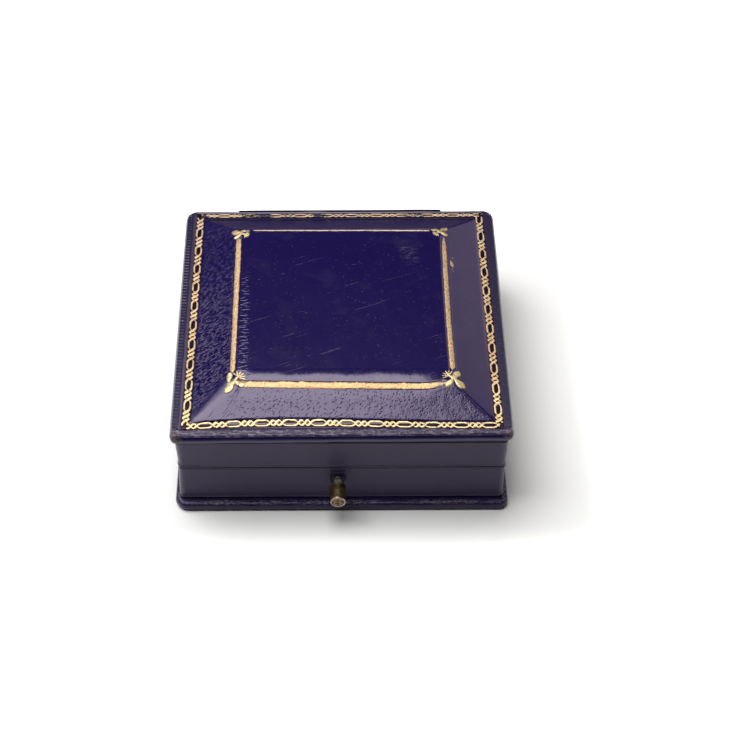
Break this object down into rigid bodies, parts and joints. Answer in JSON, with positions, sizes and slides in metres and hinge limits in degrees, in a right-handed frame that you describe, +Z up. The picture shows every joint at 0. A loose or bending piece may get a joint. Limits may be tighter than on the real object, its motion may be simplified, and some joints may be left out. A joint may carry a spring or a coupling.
{
  "type": "leather jewelry box",
  "caption": "Small hinged jewelry box covered in navy leather, with a bevelled gilt-tooled lid, a brass push button and a padded interior.",
  "frame": {"origin": "centre of the flat resting face under the box, straight below the middle of the lid", "axes": "+Z up, +X to the right, -Y towards the front where the push button is"},
  "size_m": [0.0852, 0.0896, 0.0321],
  "materials": {
    "leather": "smooth navy morocco with gilt tooling, worn at the corners",
    "millboard": "raw millboard",
    "beech": "planed",
    "brass": "aged, turned and pressed",
    "steel": "bright drawn",
    "velvet": "cut pile",
    "satin": "silk satin",
    "cloth": "glued cloth"
  },
  "bodies": {
    "base": {"base_board": "millboard", "base_board_leather": "leather", "base_sole": "cloth", "base_wall_front": "beech", "base_wall_back": "beech", "base_wall_left": "beech", "base_wall_right": "beech", "base_wall_leather": "leather", "base_lining": "velvet", "jewel_pad": "velvet", "button_bush": "brass", "catch_foot": "brass", "catch_screw_1": "brass", "catch_screw_2": "brass", "spine_base": "leather", "hinge_base_leaf_left": "brass", "hinge_pin_left": "steel", "hinge_base_screw_left_1": "brass", "hinge_base_screw_left_2": "brass", "hinge_base_leaf_right": "brass", "hinge_pin_right": "steel", "hinge_base_screw_right_1": "brass", "hinge_base_screw_right_2": "brass"},
    "lid": {"lid_board": "millboard", "lid_raised_panel": "beech", "lid_top_leather": "leather", "lid_wall_front": "beech", "lid_wall_back": "beech", "lid_wall_left": "beech", "lid_wall_right": "beech", "lid_wall_leather": "leather", "lid_lining": "satin", "lid_pad": "satin", "lid_hook": "brass", "hook_screw_1": "brass", "hook_screw_2": "brass", "spine_lid": "leather", "hinge_lid_leaf_left": "brass", "hinge_lid_screw_left_1": "brass", "hinge_lid_screw_left_2": "brass", "hinge_lid_leaf_right": "brass", "hinge_lid_screw_right_1": "brass", "hinge_lid_screw_right_2": "brass"},
    "push_button": {"push_button": "brass"},
    "catch": {"catch_leaf": "steel"}
  },
  "joints": [
    {"name": "lid_hinge", "type": "hinge", "parent": "base", "child": "lid", "pos_m": [0, 0.0392, 0.0143], "axis": [-1, 0, 0], "range_deg": [0, 95]},
    {"name": "button_slide", "type": "slide", "parent": "base", "child": "push_button", "axis": [0, 1, 0], "range_m": [0, 0.001], "stiffness_N_per_m": 400, "springref_m": -0.0005},
    {"name": "catch_bend", "type": "hinge", "parent": "base", "child": "catch", "pos_m": [-0.001, -0.03665, 0.0034], "axis": [-1, 0, 0], "range_deg": [0, 9.5]}
  ],
  "couplings": [
    {"joint": "catch_bend", "follows": "button_slide", "rad_per_m": 163.93}
  ]
}
